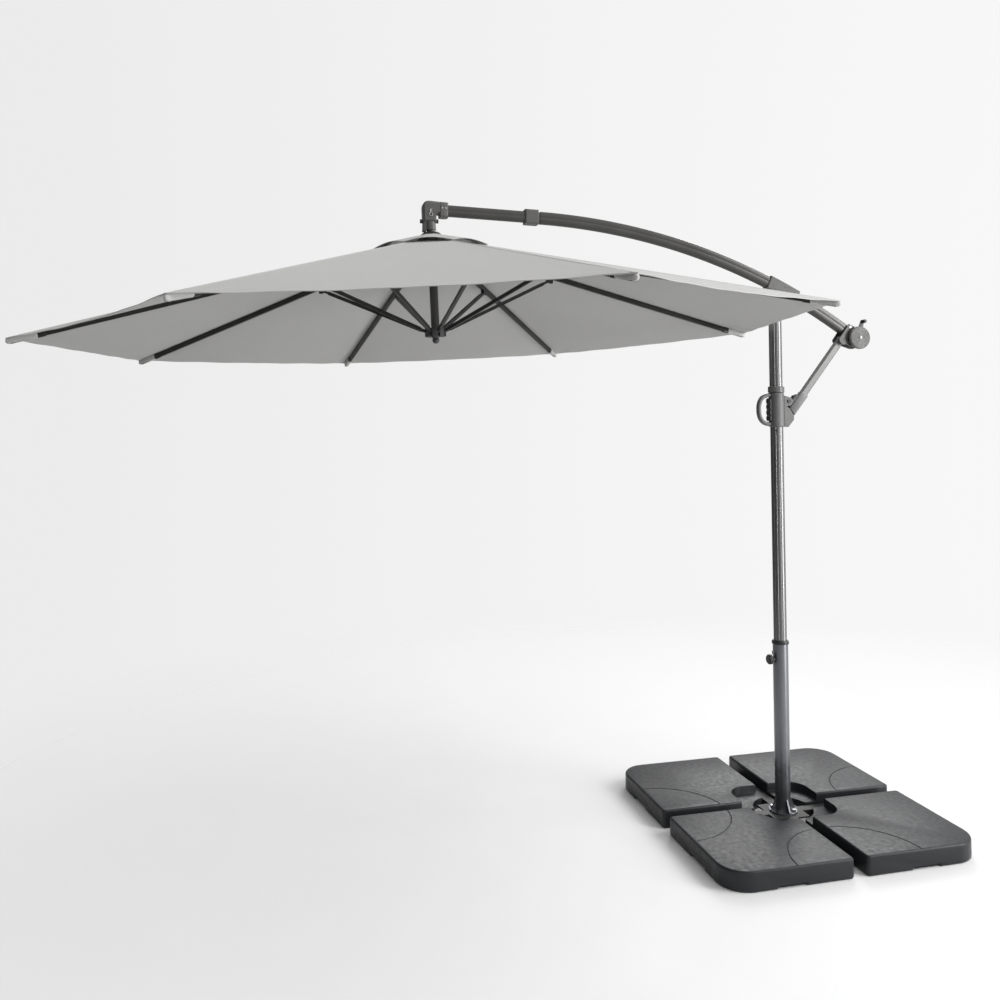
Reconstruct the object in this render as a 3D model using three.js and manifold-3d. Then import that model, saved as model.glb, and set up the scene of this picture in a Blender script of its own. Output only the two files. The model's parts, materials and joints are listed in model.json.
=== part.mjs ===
// A cantilever parasol: a weighted base of four plates on a steel cross, a plumb mast that turns in the
// base tube, a curved boom pinned on the mast top, a support strut down to a sliding handle, and an
// eight-rib canopy hung from the boom's tip. Millimetres, +Z up, mast axis on Z, canopy towards -X.
import * as THREE from "three";
import { mergeVertices } from "three/addons/utils/BufferGeometryUtils.js";
import Module from "manifold-3d";

const wasm = await Module();
wasm.setup();

const DEG = Math.PI / 180;
const GAP = 0.3; // between touching pieces
const RUN = 0.6; // running clearance of a pin in its eye

// ---- Driving dimensions -------------------------------------------------------------------------
const BASE_SIDE = 1030;
const PLATE_HEIGHT = 72;
const PLATE_GAP = 52;
const PLATE_CORNER = 105;
const FOOT_CLEARANCE = 118; // radius of the plates' inner cut-out round the mast foot
const RECESS = { half: 170, corner: 75, floor: 40 }; // sunk into the plates round the mast foot
const BAR = { reach: 440, width: 40, height: 30, wall: 2 };
const HUB_PLATE = { side: 150, thickness: 6 };

const BASE_TUBE = { radius: 30.5, wall: 3, top: 706 };
const MAST = { radius: 26, wall: 2, bottom: 330, top: 2052 };
const FOOT_FLANGE = { radius: 56, bolts: 43, height: 6 };
const THUMB_SCREW_Z = 644;
const LOCK_HOLE = { z: 1580, turn: 236 };

const BOOM_PIVOT = { x: 22, z: 2108 };
const BOOM = { height: 48, width: 36, wall: 1.8, radius: 2600 };
const BOOM_BEND = { x: -1015, z: 2415, slope: 1.5 * DEG }; // where the straight front tube begins to curve
const BOOM_REAR_X = 318;
const FRONT_TUBE = { height: 43, width: 33, end: -1392 };

const STRUT_TOP = { x: 308, z: 1962 };
const STRUT_FOOT = { x: 48, z: 1700 }; // its pivot in the handle's ears
const STRUT_HEEL = { x: 64, z: 1655 }; // where the strut's own line meets the handle's boss
const STRUT = { height: 32, width: 22 };
const TRIGGER_TRAVEL = 3;
const SOCKET = { width: 25, eye: 13.5, reach: 106 };
const PIVOT_PLAY = 3.2; // of the strut's foot pin in its eye
const CRANK = { x: 373, z: 1968, disc: 48, casing: 44 };
const CHEEK_FACE = 25.8; // the crank bracket's outer faces are this far from the middle plane

const SLEEVE = { bottom: 1594, top: 1737, half: 30, corner: 27, bore: 26.8 };

const CROWN = { x: -1442, z: 2298 }; // centre of the rib hinges
const CANOPY_TILT = 2.33 * DEG; // the canopy's axis leans away from the mast
const CANOPY_RADIUS = 1436;
const RIBS = 8;
const FIRST_RIB = 9.3; // degrees from +X
const RIB_SLOPE = 14.57 * DEG;
const HINGE_RADIUS = 45; // of the crown hub's hinge circle
const RIB = { width: 14, height: 18, blade: 5 };
const KNEE = { along: 465, below: 17 }; // where a canopy strut hangs from its rib
const LOWER_HUB = { drop: 338, hinge: 30, outer: 40, height: 32 };
const POLE_RADIUS = 16;
const POLE_TOP = 110;
const ELBOW = { left: 31, right: 20, foot: 78, skirt: 50, bolt: 84 }; // heights are above the rib hinges

// A canopy strut's reach from its foot in the lower hub to its knee under the open rib.
const STAY_RUN = {
  x: HINGE_RADIUS + KNEE.along * Math.cos(RIB_SLOPE) - KNEE.below * Math.sin(RIB_SLOPE) - LOWER_HUB.hinge,
  z: LOWER_HUB.drop - KNEE.along * Math.sin(RIB_SLOPE) - KNEE.below * Math.cos(RIB_SLOPE),
};
const STAY_LENGTH = Math.hypot(STAY_RUN.x, STAY_RUN.z);
const STAY_SLOPE = Math.atan2(STAY_RUN.z, STAY_RUN.x);

// ---- Materials ----------------------------------------------------------------------------------
const paint = (color, roughness, metalness) =>
  new THREE.MeshStandardMaterial({ color, roughness, metalness });
const greyMetal = () => paint(0x5c5b59, 0.38, 0.8);
const steel = () => paint(0xb9bcc0, 0.3, 1);
const greyPlastic = () => paint(0x545452, 0.5, 0);
const darkPlastic = () => paint(0x3f4145, 0.55, 0);
const blackPlastic = () => paint(0x17181a, 0.5, 0);
const ribPaint = () => paint(0x3a3a39, 0.4, 0.6);
const canvas = () => paint(0xb9b8b4, 0.9, 0);
const rope = () => paint(0xdad6cc, 0.85, 0);

// ---- Helpers ------------------------------------------------------------------------------------
function solid(geometry) {
  const flat = geometry.index ? geometry.toNonIndexed() : geometry;
  const bare = new THREE.BufferGeometry().setAttribute("position", flat.getAttribute("position"));
  const merged = mergeVertices(bare, 1e-3);
  const corners = merged.index.array;
  const triangles = [];
  for (let i = 0; i < corners.length; i += 3) {
    const [a, b, c] = corners.slice(i, i + 3);
    if (a !== b && b !== c && c !== a) triangles.push(a, b, c);
  }
  const vertProperties = merged.attributes.position.array;
  const build = () => {
    const triVerts = new Uint32Array(triangles);
    return new wasm.Manifold(new wasm.Mesh({ numProp: 3, vertProperties, triVerts }));
  };
  const made = build();
  if (made.volume() > 0) return made;
  triangles.reverse();
  return build();
}

function geometryOf(manifold) {
  const mesh = manifold.getMesh();
  return new THREE.BufferGeometry()
    .setAttribute("position", new THREE.BufferAttribute(new Float32Array(mesh.vertProperties), 3))
    .setIndex(new THREE.BufferAttribute(new Uint32Array(mesh.triVerts), 1))
    .toNonIndexed();
}

function piece(name, shape, material, parent) {
  const mesh = new THREE.Mesh(geometryOf(shape), material);
  mesh.geometry.computeVertexNormals();
  mesh.name = name;
  parent.add(mesh);
  return mesh;
}

const join = (first, ...rest) => rest.reduce((sum, next) => sum.add(next), first);
const cut = (first, ...rest) => rest.reduce((sum, next) => sum.subtract(next), first);

function box(x, y, z, [cx, cy, cz] = [0, 0, 0], turnY = 0) {
  return solid(new THREE.BoxGeometry(x, y, z).rotateY(turnY).translate(cx, cy, cz));
}

// A round bar between two heights on the Z axis, moved to (x, y).
function upright(radius, z0, z1, x = 0, y = 0, sides = 20) {
  const bar = new THREE.CylinderGeometry(radius, radius, z1 - z0, sides).rotateX(90 * DEG);
  return solid(bar.translate(x, y, (z0 + z1) / 2));
}

// A round bar along Y through (x, z), such as a hinge pin.
function crossPin(radius, y0, y1, x, z, sides = 12) {
  return solid(new THREE.CylinderGeometry(radius, radius, y1 - y0, sides).translate(x, (y0 + y1) / 2, z));
}

// A round bar along X at height z.
function alongX(radius, x0, x1, z) {
  const bar = new THREE.CylinderGeometry(radius, radius, x1 - x0, 12).rotateZ(90 * DEG);
  return solid(bar.translate((x0 + x1) / 2, 0, z));
}

// A closed profile of [radius, height] pairs turned about Z.
function turned(profile, segments = 24) {
  const closed = profile[0][0] === 0 ? profile : [...profile, profile[0]];
  const points = closed.map(([r, z]) => new THREE.Vector2(r, z));
  return solid(new THREE.LatheGeometry(points, segments).rotateX(90 * DEG));
}

function tube(radius, wall, z0, z1) {
  return turned([[radius - wall, z0], [radius, z0], [radius, z1], [radius - wall, z1]]);
}

// An outline in the XZ plane, width thick across Y, with bevelled edges.
function slab(shape, width, bevel = 0, y = 0, curveSegments = 6) {
  const settings = {
    depth: width - 2 * bevel,
    bevelEnabled: bevel > 0,
    bevelThickness: bevel,
    bevelSize: bevel,
    bevelOffset: -bevel,
    bevelSegments: 1,
    curveSegments,
  };
  const made = new THREE.ExtrudeGeometry(shape, settings).rotateX(90 * DEG);
  return solid(made.translate(0, y + width / 2 - bevel, 0));
}

// The XY outline raised from z0 to z1.
function raised(shape, z0, z1, bevel = 0, curveSegments = 5) {
  const settings = {
    depth: z1 - z0 - 2 * bevel,
    bevelEnabled: bevel > 0,
    bevelThickness: bevel,
    bevelSize: bevel,
    bevelOffset: -bevel,
    bevelSegments: 1,
    curveSegments,
  };
  return solid(new THREE.ExtrudeGeometry(shape, settings).translate(0, 0, z0 + bevel));
}

function polygon(points) {
  return new THREE.Shape(points.map(([x, y]) => new THREE.Vector2(x, y)));
}

function roundedSquare(half, corner) {
  const shape = new THREE.Shape();
  const inset = half - corner;
  [[inset, inset], [-inset, inset], [-inset, -inset], [inset, -inset]].forEach(([x, y], i) => {
    shape.absarc(x, y, corner, i * 90 * DEG, (i + 1) * 90 * DEG);
  });
  return shape;
}

function disc(x, z, radius) {
  const shape = new THREE.Shape();
  shape.absarc(x, z, radius, 0, 2 * Math.PI);
  return shape;
}

// ---- The strut's frame: its origin at the heel, +X up along the strut -------------------------------
const STRUT_RUN = { x: STRUT_TOP.x - STRUT_HEEL.x, z: STRUT_TOP.z - STRUT_HEEL.z };
const STRUT_LENGTH = Math.hypot(STRUT_RUN.x, STRUT_RUN.z);
const STRUT_LEAN = -Math.atan2(STRUT_RUN.z, STRUT_RUN.x);

function inStrutFrame(shape) {
  return shape.rotate([0, STRUT_LEAN / DEG, 0]).translate([STRUT_HEEL.x, 0, STRUT_HEEL.z]);
}

// ---- The boom's centreline: an arc that leaves the straight front tube at BOOM_BEND ----------------
const BOOM_CENTRE = {
  x: BOOM_BEND.x - BOOM.radius * Math.sin(BOOM_BEND.slope),
  z: BOOM_BEND.z - BOOM.radius * Math.cos(BOOM_BEND.slope),
};
const slopeAt = (x) => Math.asin((x - BOOM_CENTRE.x) / BOOM.radius);

// A stretch of the boom's curve between two x, thick across the curve.
function boomBand(x0, x1, thickness) {
  const from = 90 * DEG - slopeAt(x0);
  const to = 90 * DEG - slopeAt(x1);
  const shape = new THREE.Shape();
  shape.absarc(BOOM_CENTRE.x, BOOM_CENTRE.z, BOOM.radius + thickness / 2, from, to, true);
  shape.absarc(BOOM_CENTRE.x, BOOM_CENTRE.z, BOOM.radius - thickness / 2, to, from, false);
  return shape;
}

// A stretch of the straight front tube's line between two x, thick across the line.
function frontBand(x0, x1, thickness) {
  const rise = Math.tan(BOOM_BEND.slope);
  const half = thickness / 2 / Math.cos(BOOM_BEND.slope);
  const z = (x) => BOOM_BEND.z - rise * (x - BOOM_BEND.x);
  return polygon([[x0, z(x0) - half], [x1, z(x1) - half], [x1, z(x1) + half], [x0, z(x0) + half]]);
}

// ---- Base ---------------------------------------------------------------------------------------
function addCross(root) {
  const lengthwise = box(2 * BAR.reach, BAR.width, BAR.height, [0, 0, BAR.height / 2]);
  const across = box(BAR.width, 2 * BAR.reach, BAR.height, [0, 0, BAR.height / 2]);
  const { side, thickness } = HUB_PLATE;
  const plate = box(side, side, thickness, [0, 0, BAR.height - thickness / 2]);
  const room = { width: BAR.width - 2 * BAR.wall, height: BAR.height - 2 * BAR.wall - thickness };
  const centre = [0, 0, BAR.wall + room.height / 2];
  const insides = [
    box(BASE_SIDE, room.width, room.height, centre),
    box(room.width, BASE_SIDE, room.height, centre),
  ];
  const holes = boltPlaces().map(([x, y]) => upright(5.4, -1, BAR.height + 1, x, y, 12));
  piece("cross_frame", cut(join(lengthwise, across, plate), ...insides, ...holes), greyMetal(), root);
}

function boltPlaces() {
  const r = FOOT_FLANGE.bolts;
  return [45, 135, 225, 315].map((a) => [r * Math.cos(a * DEG), r * Math.sin(a * DEG)]);
}

function quarterPlate() {
  const near = PLATE_GAP / 2;
  const far = BASE_SIDE / 2;
  const shape = new THREE.Shape();
  const start = Math.asin(near / FOOT_CLEARANCE);
  shape.absarc(0, 0, FOOT_CLEARANCE, 90 * DEG - start, start, true);
  shape.lineTo(far - 14, near);
  shape.quadraticCurveTo(far, near, far, near + 14);
  shape.lineTo(far, far - PLATE_CORNER);
  shape.absarc(far - PLATE_CORNER, far - PLATE_CORNER, PLATE_CORNER, 0, 90 * DEG);
  shape.lineTo(near + 14, far);
  shape.quadraticCurveTo(near, far, near, far - 14);
  return shape;
}

function addBasePlates(root) {
  const relief = { length: 120, depth: 24, height: 11 };
  const middle = (BASE_SIDE / 2 + PLATE_GAP / 2) / 2;
  const edge = BASE_SIDE / 2 - relief.depth / 2 + 1;
  const body = cut(
    raised(quarterPlate(), 0, PLATE_HEIGHT, 6),
    box(relief.depth, relief.length, relief.height * 2, [edge, middle, 0]),
    box(relief.length, relief.depth, relief.height * 2, [middle, edge, 0]),
    raised(roundedSquare(RECESS.half, RECESS.corner), RECESS.floor, PLATE_HEIGHT + 1),
  );
  ["base_plate_back", "base_plate_left", "base_plate_front", "base_plate_right"].forEach((name, i) => {
    const plate = piece(name, body, darkPlastic(), root);
    plate.rotation.z = i * 90 * DEG;
  });
}

function addBaseTube(root) {
  const seat = BAR.height + GAP;
  const rise = FOOT_FLANGE.height;
  const { radius, wall, top: tubeTop } = BASE_TUBE;
  const flange = upright(FOOT_FLANGE.radius, seat, seat + rise, 0, 0, 32);
  const post = upright(radius, seat, tubeTop, 0, 0, 24);
  const inside = upright(radius - wall, seat + rise, tubeTop + 1, 0, 0, 32);
  const gusset = polygon([[28, seat + 5], [53, seat + 5], [53, seat + 10], [33, seat + 52], [28, seat + 52]]);
  const gussets = [0, 90, 180, 270].map((a) => slab(gusset, 6).rotate([0, 0, a]));
  const boltHoles = boltPlaces().map(([x, y]) => upright(5.4, seat - 1, seat + rise + 1, x, y, 12));
  const screwBoss = alongX(9, -radius - 4, -radius + 2, THUMB_SCREW_Z);
  const lug = box(8, 9, 14, [-radius - 2, 0, THUMB_SCREW_Z + 27]);
  const screwHole = alongX(4.6, -radius - 10, -radius + 10, THUMB_SCREW_Z);
  const welded = cut(join(post, flange, screwBoss, lug, ...gussets), inside, screwHole, ...boltHoles);
  piece("base_tube", welded, greyMetal(), root);

  boltPlaces().forEach(([x, y], i) => {
    const top = seat + rise + GAP;
    const head = solid(new THREE.CylinderGeometry(9, 9, 7, 6).rotateX(90 * DEG).translate(x, y, top + 3.5));
    piece("foot_bolt_" + (i + 1), join(head, upright(4.9, 8, top + 1, x, y, 12)), steel(), root);
  });

  const rim = radius + 3.5;
  const lip = tubeTop + GAP;
  const bore = MAST.radius + 0.5;
  const liner = radius - wall - GAP;
  const bush = [
    [bore, lip - 46], [liner, lip - 46], [liner, lip], [rim, lip],
    [rim, lip + 9], [rim - 3, lip + 14], [bore, lip + 14],
  ];
  piece("base_tube_collar", turned(bush), blackPlastic(), root);
}

function addThumbScrew(root) {
  const knob = turned([[0, 0], [4.2, 0], [4.2, 8], [9, 8], [9, 12], [20, 14], [20, 25], [16, 29], [0, 29]]);
  const dents = [...Array(6).keys()].map((i) => {
    const a = i * 60 * DEG;
    return upright(5, 13, 30, 23 * Math.cos(a), 23 * Math.sin(a), 10);
  });
  const lying = cut(knob, ...dents).rotate([0, -90, 0]).translate([-29.2, 0, THUMB_SCREW_Z]);
  piece("thumb_screw", lying, blackPlastic(), root);
}

// ---- Mast ---------------------------------------------------------------------------------------
function addMast(root) {
  const lockHole = alongX(4, MAST.radius - 10, MAST.radius + 10, LOCK_HOLE.z).rotate([0, 0, LOCK_HOLE.turn]);
  piece("mast_tube", cut(tube(MAST.radius, MAST.wall, MAST.bottom, MAST.top), lockHole), greyMetal(), root);

  const foot = upright(25, MAST.bottom - 8, MAST.bottom - GAP, 0, 0, 24);
  piece("mast_foot_plug", foot, blackPlastic(), root);

  const cap = turned([
    [0, MAST.top - 60], [23, MAST.top - 60], [23, MAST.top + GAP], [30, MAST.top + GAP],
    [30, MAST.top + 14], [0, MAST.top + 14],
  ]);
  const cheek = new THREE.Shape();
  cheek.moveTo(-24, MAST.top + 4);
  cheek.lineTo(26, MAST.top + 4);
  cheek.absarc(BOOM_PIVOT.x, BOOM_PIVOT.z, 17, -20 * DEG, 170 * DEG);
  const cheeks = [-19, 19].map((y) => slab(cheek, 8, 1.5, y));
  const hole = crossPin(6 + GAP, -40, 40, BOOM_PIVOT.x, BOOM_PIVOT.z);
  piece("mast_top_bracket", cut(join(cap, ...cheeks), hole), greyPlastic(), root);

  const pin = join(
    crossPin(6, -27, 27, BOOM_PIVOT.x, BOOM_PIVOT.z),
    crossPin(11, -29, -23 - GAP, BOOM_PIVOT.x, BOOM_PIVOT.z),
    crossPin(11, 23 + GAP, 29, BOOM_PIVOT.x, BOOM_PIVOT.z),
  );
  piece("boom_pivot_pin", pin, steel(), root);
}

// ---- Sliding handle -----------------------------------------------------------------------------
function addSlider(root) {
  const { bottom, top, half, corner, bore } = SLEEVE;
  const boss = polygon([
    [26, bottom + 2], [46, bottom], [72, bottom + 30],
    [72, bottom + 46], [52, bottom + 77], [26, bottom + 94],
  ]);
  const ear = new THREE.Shape();
  ear.moveTo(26, STRUT_FOOT.z - 26);
  ear.lineTo(STRUT_FOOT.x, STRUT_FOOT.z - 18);
  ear.absarc(STRUT_FOOT.x, STRUT_FOOT.z, 18, -90 * DEG, 90 * DEG);
  ear.lineTo(26, STRUT_FOOT.z + 24);
  const ears = [-15.8, 15.8].map((y) => slab(ear, 5, 1, y));
  const eyeHalf = SOCKET.width / 2 + GAP;
  const heelRoom = inStrutFrame(box(60, SOCKET.width + 1, 54, [16, 0, -3]));
  const sleeve = cut(
    join(raised(roundedSquare(half, corner), bottom, top, 3, 4), slab(boss, 34, 2), ...ears),
    upright(bore, bottom - 1, top + 1, 0, 0, 32),
    heelRoom,
    crossPin(SOCKET.eye + RUN, -eyeHalf, eyeHalf, STRUT_FOOT.x, STRUT_FOOT.z, 20),
    crossPin(5 + GAP, -40, 40, STRUT_FOOT.x, STRUT_FOOT.z),
  );
  piece("slider_sleeve", sleeve, greyPlastic(), root);

  const ring = [[bore, top + GAP], [33, top + GAP], [33, top + 22], [30, top + 25], [bore, top + 25]];
  piece("slider_ring", turned(ring), darkPlastic(), root);

  piece("grip_loop", gripLoop(), greyPlastic(), root);
  piece("grip_trigger", gripTrigger(), blackPlastic(), root);

  const pin = join(
    crossPin(5, -21, 21, STRUT_FOOT.x, STRUT_FOOT.z),
    crossPin(7.5, -22.6, -18.6, STRUT_FOOT.x, STRUT_FOOT.z),
    crossPin(7.5, 18.6, 22.6, STRUT_FOOT.x, STRUT_FOOT.z),
  );
  piece("strut_lower_pin", pin, steel(), root);
}

function gripLoop() {
  const { bottom, top, half } = SLEEVE;
  const inner = -half - GAP;
  const shape = new THREE.Shape();
  shape.moveTo(inner, bottom + 3);
  shape.lineTo(inner, bottom + 21);
  shape.bezierCurveTo(-62, bottom + 21, -74, bottom + 36, -74, bottom + 72);
  shape.bezierCurveTo(-74, top - 36, -62, top - 20, inner, top - 20);
  shape.lineTo(inner, top - 2);
  shape.bezierCurveTo(-74, top - 2, -89.5, top - 26, -89.5, bottom + 74);
  shape.bezierCurveTo(-89.5, bottom + 36, -78, bottom + 3, inner, bottom + 3);
  return slab(shape, 22, 4, 0, 8);
}

// A lever on the sleeve's front, hollowed to fit round it, with finger waves towards the loop.
function gripTrigger() {
  const low = SLEEVE.bottom + 25;
  const high = SLEEVE.top - 24;
  const face = -SLEEVE.half - 7;
  const back = -20;
  const waves = 4;
  const pitch = (high - low) / waves;
  const shape = new THREE.Shape();
  shape.moveTo(back, low);
  shape.lineTo(face, low);
  for (let i = 0; i < waves; i++) {
    const z = low + i * pitch;
    shape.bezierCurveTo(face - 5, z + pitch * 0.25, face - 5, z + pitch * 0.75, face, z + pitch);
  }
  shape.lineTo(back, high);
  const room = upright(SLEEVE.half + TRIGGER_TRAVEL + 1.3, low - 1, high + 1, 0, 0, 32);
  return cut(slab(shape, 30, 3, 0, 5), room);
}

// ---- Boom ---------------------------------------------------------------------------------------
function addBoom(root) {
  const { height, width, wall } = BOOM;
  const rear = cut(
    slab(boomBand(BOOM_BEND.x + GAP, BOOM_REAR_X, height), width, 8, 0, 10),
    slab(boomBand(BOOM_BEND.x - 30, BOOM_REAR_X + 40, height - 2 * wall), width - 14, 0, 0, 12),
  );
  piece("boom_tube_rear", rear, greyMetal(), root);

  const front = cut(
    slab(frontBand(FRONT_TUBE.end, BOOM_BEND.x, FRONT_TUBE.height), FRONT_TUBE.width, 8),
    slab(frontBand(FRONT_TUBE.end - 9, BOOM_BEND.x + 9, FRONT_TUBE.height - 6), FRONT_TUBE.width - 14),
  );
  piece("boom_tube_front", front, greyMetal(), root);

  const coupling = { from: -1078, to: -1024 };
  const collar = cut(
    slab(frontBand(coupling.from, coupling.to, 56), 46, 4),
    frontTubeRoom(coupling.from - 9, coupling.to + 9),
  );
  piece("boom_coupling", collar, greyPlastic(), root);

  addSaddle(root);
  addElbow(root);
}

function frontTubeRoom(x0, x1) {
  return slab(frontBand(x0, x1, FRONT_TUBE.height + 2 * GAP), FRONT_TUBE.width + 2 * GAP);
}

function addSaddle(root) {
  const under = slopeAt(BOOM_PIVOT.x);
  const lug = new THREE.Shape();
  lug.moveTo(-20, 2150);
  lug.lineTo(6, 2100);
  lug.absarc(BOOM_PIVOT.x, BOOM_PIVOT.z, 16, 190 * DEG, 340 * DEG);
  lug.lineTo(64, 2150 - 60 * Math.tan(under));
  lug.lineTo(64, 2150);
  const saddle = cut(
    join(slab(boomBand(-34, 96, BOOM.height + 7), BOOM.width + 8, 3, 0, 5), slab(lug, 28)),
    slab(boomBand(-50, 112, BOOM.height + 2 * GAP), BOOM.width + 2 * GAP, 0, 0, 6),
    crossPin(6 + RUN, -40, 40, BOOM_PIVOT.x, BOOM_PIVOT.z),
  );
  piece("boom_saddle", saddle, greyPlastic(), root);
}

function addElbow(root) {
  const lean = Math.tan(CANOPY_TILT);
  const rise = Math.tan(BOOM_BEND.slope);
  const axisX = (z) => CROWN.x - lean * (z - CROWN.z);
  const lineZ = (x) => BOOM_BEND.z - rise * (x - BOOM_BEND.x);
  const mouth = -1380; // where the front tube enters
  const half = 28; // of the elbow's height there
  const low = CROWN.z + ELBOW.foot;
  const left = axisX(lineZ(CROWN.x)) - ELBOW.left;
  const shape = new THREE.Shape();
  shape.moveTo(axisX(low) - ELBOW.left, low);
  shape.lineTo(axisX(low) + ELBOW.right, low);
  shape.lineTo(axisX(low + 26) + ELBOW.right, low + 26);
  shape.quadraticCurveTo(axisX(low + 32) + ELBOW.right, low + 34, axisX(low + 26) + 36, low + 32);
  shape.lineTo(mouth, lineZ(mouth) - half);
  shape.lineTo(mouth, lineZ(mouth) + half);
  shape.lineTo(left + 26, lineZ(left) + half + 2);
  shape.quadraticCurveTo(left, lineZ(left) + half + 2, left, lineZ(left) + half - 24);
  const skirt = inCanopyFrame(upright(ELBOW.right, ELBOW.skirt, ELBOW.foot + 10, 0, 0, 24));
  const elbow = cut(
    join(slab(shape, 46, 7, 0, 6), skirt),
    frontTubeRoom(FRONT_TUBE.end - GAP, mouth + 10),
    inCanopyFrame(upright(POLE_RADIUS + GAP, ELBOW.skirt - 4, POLE_TOP + 1)),
    inCanopyFrame(alongX(5 + GAP, -60, 60, ELBOW.bolt)),
  );
  piece("elbow", elbow, greyPlastic(), root);
}

// ---- Rear end: crank, and the support strut -------------------------------------------------------
function addCrank(root) {
  const slope = slopeAt(BOOM_REAR_X);
  const end = { x: BOOM_REAR_X, z: BOOM_CENTRE.z + BOOM.radius * Math.cos(slope) };
  const cheek = new THREE.Shape();
  cheek.moveTo(end.x - 22, end.z - 20);
  cheek.absarc(STRUT_TOP.x, STRUT_TOP.z, 24, 180 * DEG, 290 * DEG);
  cheek.absarc(CRANK.x, CRANK.z, CRANK.casing, -100 * DEG, 95 * DEG);
  cheek.lineTo(end.x + 14, end.z + 20);
  const cheeks = [-22.3, 22.3].map((y) => slab(cheek, 7, 1, y));
  const rim = new THREE.Shape();
  rim.absarc(CRANK.x, CRANK.z, CRANK.casing - 1, -70 * DEG, 90 * DEG);
  rim.absarc(CRANK.x, CRANK.z, CRANK.casing - 5, 90 * DEG, -70 * DEG, true);
  const plug = slab(boomBand(end.x - 40, end.x + 8, BOOM.height - 2 * BOOM.wall - 2), BOOM.width - 15);
  const bridge = box(12, 40, 36, [end.x + 8, 0, end.z - 5], slope);
  const bracket = cut(
    join(...cheeks, slab(rim, 40), plug, bridge),
    crossPin(5 + RUN, -40, 40, CRANK.x, CRANK.z),
    crossPin(5 + GAP, -40, 40, STRUT_TOP.x, STRUT_TOP.z),
  );
  piece("crank_bracket", bracket, greyPlastic(), root);

  const drum = join(
    crossPin(5, -48, 30, CRANK.x, CRANK.z),
    crossPin(14, -16, 16, CRANK.x, CRANK.z, 20),
    crossPin(22, -18, -15, CRANK.x, CRANK.z, 24),
    crossPin(22, 15, 18, CRANK.x, CRANK.z, 24),
  );
  piece("cord_drum", drum, darkPlastic(), root);
  piece("crank_disc", crankDisc(), darkPlastic(), root);

  const tip = { x: CRANK.x + 20, z: CRANK.z + 69 };
  const lean = Math.atan2(tip.z - CRANK.z, tip.x - CRANK.x);
  const bar = new THREE.Shape();
  bar.absarc(CRANK.x, CRANK.z, 14, lean + 90 * DEG, lean + 270 * DEG);
  bar.absarc(tip.x, tip.z, 8, lean - 90 * DEG, lean + 90 * DEG);
  const armY = -CHEEK_FACE - 3;
  const holes = [crossPin(5 + GAP, -40, -20, CRANK.x, CRANK.z), crossPin(3 + GAP, -40, -20, tip.x, tip.z)];
  piece("crank_arm", cut(slab(bar, 5, 1, armY), ...holes), steel(), root);

  const grip = turned([
    [0, 0], [3, 0], [3, 6], [7, 6.5], [8, 10], [7.5, 24], [5, 27], [0, 27],
  ], 20);
  piece("crank_knob", grip.rotate([90, 0, 0]).translate([tip.x, armY + 2.5, tip.z]), blackPlastic(), root);
}

// The cover over the cord drum, with two concentric steps.
function crankDisc() {
  const rim = CRANK.disc;
  const profile = [
    [5 + GAP, 0], [rim, 0], [rim, 9], [rim - 4, 13], [34, 13], [32, 11], [18, 11], [16, 14], [5 + GAP, 14],
  ];
  return turned(profile, 40).rotate([90, 0, 0]).translate([CRANK.x, -CHEEK_FACE - 6, CRANK.z]);
}

function addSupportStrut(root) {
  const strut = new THREE.Group();
  strut.position.set(STRUT_HEEL.x, 0, STRUT_HEEL.z);
  strut.rotation.y = STRUT_LEAN;
  root.add(strut);

  const seat = 78;
  const half = STRUT.height / 2;
  const neck = STRUT_LENGTH - 26;
  const bodyShape = polygon([[seat, -half], [neck, -half], [neck, half], [seat, half]]);
  const eye = join(slab(disc(STRUT_LENGTH, 0, 15), 20, 1), box(34, 20, 24, [STRUT_LENGTH - 22, 0, 0]));
  const bar = cut(join(slab(bodyShape, STRUT.width, 6), eye), crossPin(5 + RUN, -40, 40, STRUT_LENGTH, 0));
  piece("support_strut", bar, greyMetal(), strut);

  const { width, eye: eyeRadius, reach } = SOCKET;
  const foot = alongStrut(STRUT_FOOT);
  const casting = polygon([[-3, -19], [reach, -20], [54, 47], [9, 20]]);
  const tubeRoom = box(60, STRUT.width + 2 * GAP, STRUT.height + 2 * GAP, [seat + 30 - GAP, 0, 0]);
  const socket = cut(
    join(slab(casting, width, 3), slab(disc(foot.x, foot.z, eyeRadius), width, 1)),
    crossPin(PIVOT_PLAY + 5, -40, 40, foot.x, foot.z, 20),
    tubeRoom,
  );
  piece("strut_socket", socket, darkPlastic(), strut);

  const pin = join(
    crossPin(5, -CHEEK_FACE + GAP, 29, STRUT_TOP.x, STRUT_TOP.z),
    crossPin(9, CHEEK_FACE + GAP, 31, STRUT_TOP.x, STRUT_TOP.z),
  );
  piece("strut_upper_pin", pin, steel(), root);
}

// A point of the XZ plane, in the strut's frame.
function alongStrut({ x, z }) {
  const [dx, dz] = [x - STRUT_HEEL.x, z - STRUT_HEEL.z];
  const [c, s] = [STRUT_RUN.x / STRUT_LENGTH, STRUT_RUN.z / STRUT_LENGTH];
  return { x: dx * c + dz * s, z: dz * c - dx * s };
}

// ---- Canopy -------------------------------------------------------------------------------------
function canopyFrame() {
  const frame = new THREE.Group();
  frame.position.set(CROWN.x, 0, CROWN.z);
  frame.rotation.y = -CANOPY_TILT;
  return frame;
}

function inCanopyFrame(shape) {
  return shape.rotate([0, -CANOPY_TILT / DEG, 0]).translate([CROWN.x, 0, CROWN.z]);
}

const azimuth = (i) => (FIRST_RIB + (i * 360) / RIBS) * DEG;

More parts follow.
